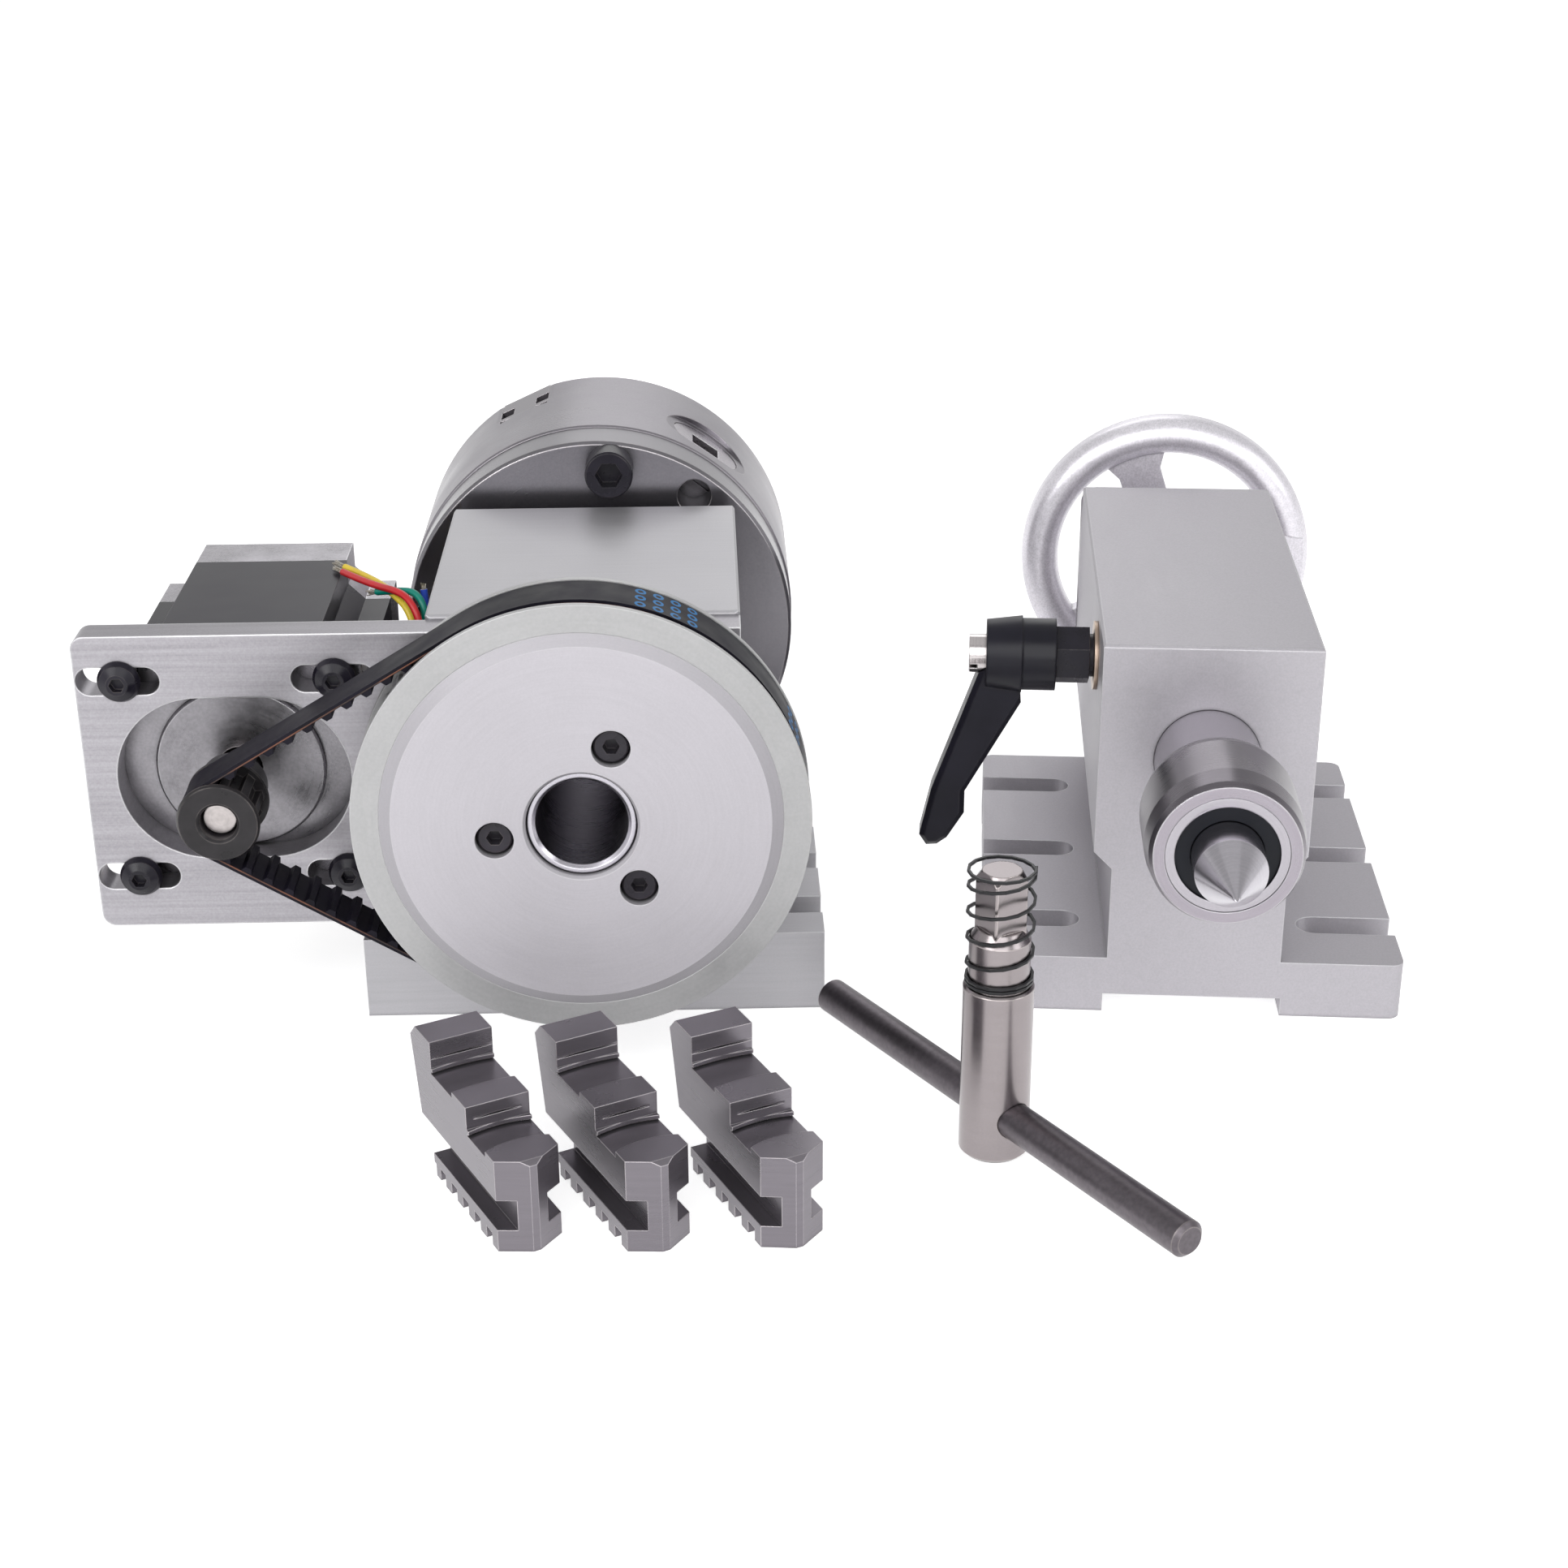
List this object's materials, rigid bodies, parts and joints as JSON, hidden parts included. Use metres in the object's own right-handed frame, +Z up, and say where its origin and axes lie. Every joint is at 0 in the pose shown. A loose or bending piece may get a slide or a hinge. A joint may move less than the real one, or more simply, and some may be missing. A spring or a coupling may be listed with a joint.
{
  "type": "cnc rotary axis",
  "caption": "Belt-driven rotary spindle with a stepper motor and a scroll chuck, with its tailstock and live centre, chuck key and spare jaws, for turning work on a milling table.",
  "frame": {"origin": "middle of the headstock's underside, straight below the spindle", "axes": "+Y along the spindle from the drive pulley towards the chuck, +X across the spindle away from the motor and towards the tailstock, +Z up"},
  "size_m": [0.313, 0.2844, 0.115],
  "materials": {
    "ground_steel": "ground and fine brushed",
    "turned_steel": "turned, with a fine circular lay",
    "chuck_grey": "machined cast iron, satin",
    "dark_steel": "oil blackened",
    "hard_steel": "hardened and ground",
    "aluminium": "turned, clear anodised",
    "bell_aluminium": "die cast, machined",
    "black_stack": "black paint over steel laminations",
    "black_screw": "black oxide",
    "black_pulley": "black anodised",
    "belt_rubber": "neoprene with a ribbed back",
    "black_rubber": "moulded",
    "lever_black": "black powder coat, fine texture",
    "copper": "plain copper",
    "wheel_silver": "cast, silvery satin with a fine grain",
    "bright_steel": "polished",
    "lead_red": "soft insulation",
    "lead_yellow": "soft insulation",
    "lead_green": "soft insulation",
    "lead_blue": "soft insulation",
    "tinned_wire": "tinned strands"
  },
  "bodies": {
    "headstock": {"headstock_body": "ground_steel", "bearing_outer_rings": "hard_steel", "motor_plate": "ground_steel", "plate_screws": "black_screw", "motor_front_bell": "bell_aluminium", "motor_stator": "black_stack", "motor_rear_bell": "bell_aluminium", "motor_case_screws": "black_screw", "motor_screws": "black_screw", "lead_grommet": "black_rubber", "lead_yellow": "lead_yellow", "lead_red": "lead_red", "lead_green": "lead_green", "lead_blue": "lead_blue", "lead_tips": "tinned_wire", "drive_belt": "belt_rubber"},
    "spindle_unit": {"spindle": "turned_steel", "bearing_inner_rings": "hard_steel", "bearing_balls": "bright_steel", "pulley_hub": "turned_steel", "drive_pulley": "aluminium", "pulley_flanges": "aluminium", "pulley_screws": "dark_steel", "back_plate": "dark_steel", "spindle_screws": "black_screw", "chuck_screws": "black_screw", "chuck_body": "chuck_grey", "chuck_cover": "chuck_grey"},
    "motor_rotor": {"motor_rotor": "hard_steel", "motor_pulley": "black_pulley"},
    "scroll": {"scroll": "hard_steel"},
    "tailstock": {"tailstock_body": "ground_steel", "thrust_plate": "turned_steel", "thrust_screws": "black_screw", "quill_key": "black_screw", "clamp_washer": "copper", "clamp_pads": "hard_steel"},
    "quill_unit": {"quill": "hard_steel", "centre_housing": "turned_steel", "centre_bearing_ring": "bright_steel", "centre_seal": "black_rubber"},
    "centre_point": {"centre_point": "hard_steel"},
    "handwheel_unit": {"feed_screw": "hard_steel", "handwheel": "wheel_silver", "handwheel_nut": "hard_steel"},
    "clamp_stud": {"clamp_stud": "black_screw", "lever_screw": "bright_steel"},
    "lever_handle": {"lever_handle": "lever_black"},
    "chuck_key": {"key_body": "dark_steel", "key_spring": "black_screw"},
    "key_bar": {"key_bar": "dark_steel"},
    "pinion_1": {"pinion_1": "dark_steel"},
    "jaw_1": {"jaw_1": "hard_steel"},
    "outside_jaw_1": {"outside_jaw_1": "hard_steel"},
    "pinion_2": {"pinion_2": "dark_steel"},
    "jaw_2": {"jaw_2": "hard_steel"},
    "outside_jaw_2": {"outside_jaw_2": "hard_steel"},
    "pinion_3": {"pinion_3": "dark_steel"},
    "jaw_3": {"jaw_3": "hard_steel"},
    "outside_jaw_3": {"outside_jaw_3": "hard_steel"}
  },
  "joints": [
    {"name": "spindle_spin", "type": "hinge", "parent": "headstock", "child": "spindle_unit", "pos_m": [0, 0, 0.065], "axis": [0, 1, 0], "continuous": true, "deforming": ["drive_belt"]},
    {"name": "motor_spin", "type": "hinge", "parent": "headstock", "child": "motor_rotor", "pos_m": [-0.0782, 0, 0.065], "axis": [0, 1, 0], "continuous": true},
    {"name": "scroll_turn", "type": "hinge", "parent": "spindle_unit", "child": "scroll", "pos_m": [0, 0.09, 0.065], "axis": [0, 1, 0], "range_deg": [-720, 266.4]},
    {"name": "jaw_1_slide", "type": "slide", "parent": "spindle_unit", "child": "jaw_1", "axis": [-0.4147, 0, 0.91], "range_m": [-0.0101, 0.0038]},
    {"name": "jaw_2_slide", "type": "slide", "parent": "spindle_unit", "child": "jaw_2", "axis": [-0.5807, 0, -0.8141], "range_m": [-0.0101, 0.0038]},
    {"name": "jaw_3_slide", "type": "slide", "parent": "spindle_unit", "child": "jaw_3", "axis": [0.9954, 0, -0.0958], "range_m": [-0.0101, 0.0038]},
    {"name": "pinion_1_turn", "type": "hinge", "parent": "spindle_unit", "child": "pinion_1", "pos_m": [0.02497, 0.0792, 0.10001], "axis": [0.5807, 0, 0.8141], "range_deg": [-1280, 3460]},
    {"name": "pinion_2_turn", "type": "hinge", "parent": "spindle_unit", "child": "pinion_2", "pos_m": [-0.0428, 0.0792, 0.06912], "axis": [-0.9954, 0, 0.0958], "range_deg": [-1280, 3460]},
    {"name": "pinion_3_turn", "type": "hinge", "parent": "spindle_unit", "child": "pinion_3", "pos_m": [0.01783, 0.0792, 0.02587], "axis": [0.4147, 0, -0.91], "range_deg": [-1280, 3460]},
    {"name": "tailstock_slide", "type": "slide", "parent": "headstock", "child": "tailstock", "axis": [0.1028, 0.9947, 0], "range_m": [0, 0.15]},
    {"name": "handwheel_turn", "type": "hinge", "parent": "tailstock", "child": "handwheel_unit", "pos_m": [0.15572, 0.1028, 0.065], "axis": [-0.1028, -0.9947, 0], "range_deg": [-3600, 2160]},
    {"name": "quill_feed", "type": "slide", "parent": "tailstock", "child": "quill_unit", "axis": [-0.1028, -0.9947, 0], "range_m": [-0.0201, 0.0121]},
    {"name": "centre_spin", "type": "hinge", "parent": "quill_unit", "child": "centre_point", "pos_m": [0.13516, -0.09613, 0.065], "axis": [-0.1028, -0.9947, 0], "continuous": true},
    {"name": "clamp_turn", "type": "hinge", "parent": "tailstock", "child": "clamp_stud", "pos_m": [0.1184, -0.02001, 0.0807], "axis": [-0.9947, 0.1028, 0], "range_deg": [-15, 90]},
    {"name": "lever_pull", "type": "slide", "parent": "clamp_stud", "child": "lever_handle", "axis": [-0.9947, 0.1028, 0], "range_m": [0, 0.004], "stiffness_N_per_m": 500, "springref_m": -0.002},
    {"name": "key_lift", "type": "slide", "parent": "headstock", "child": "chuck_key", "axis": [0, 0, 1], "range_m": [0, 0.1]},
    {"name": "key_bar_slide", "type": "slide", "parent": "chuck_key", "child": "key_bar", "axis": [0.524, -0.8517, 0], "range_m": [-0.008, 0.052]},
    {"name": "outside_jaw_1_lift", "type": "slide", "parent": "headstock", "child": "outside_jaw_1", "axis": [0, 0, 1], "range_m": [0, 0.06]},
    {"name": "outside_jaw_2_lift", "type": "slide", "parent": "headstock", "child": "outside_jaw_2", "axis": [0, 0, 1], "range_m": [0, 0.06]},
    {"name": "outside_jaw_3_lift", "type": "slide", "parent": "headstock", "child": "outside_jaw_3", "axis": [0, 0, 1], "range_m": [0, 0.06]}
  ],
  "couplings": [
    {"joint": "motor_spin", "follows": "spindle_spin", "ratio": 6},
    {"joint": "jaw_1_slide", "follows": "scroll_turn", "m_per_rad": 0.00079577},
    {"joint": "jaw_2_slide", "follows": "scroll_turn", "m_per_rad": 0.00079577},
    {"joint": "jaw_3_slide", "follows": "scroll_turn", "m_per_rad": 0.00079577},
    {"joint": "pinion_1_turn", "follows": "scroll_turn", "ratio": -4.8},
    {"joint": "pinion_2_turn", "follows": "scroll_turn", "ratio": -4.8},
    {"joint": "pinion_3_turn", "follows": "scroll_turn", "ratio": -4.8},
    {"joint": "quill_feed", "follows": "handwheel_turn", "m_per_rad": 0.00031831}
  ]
}
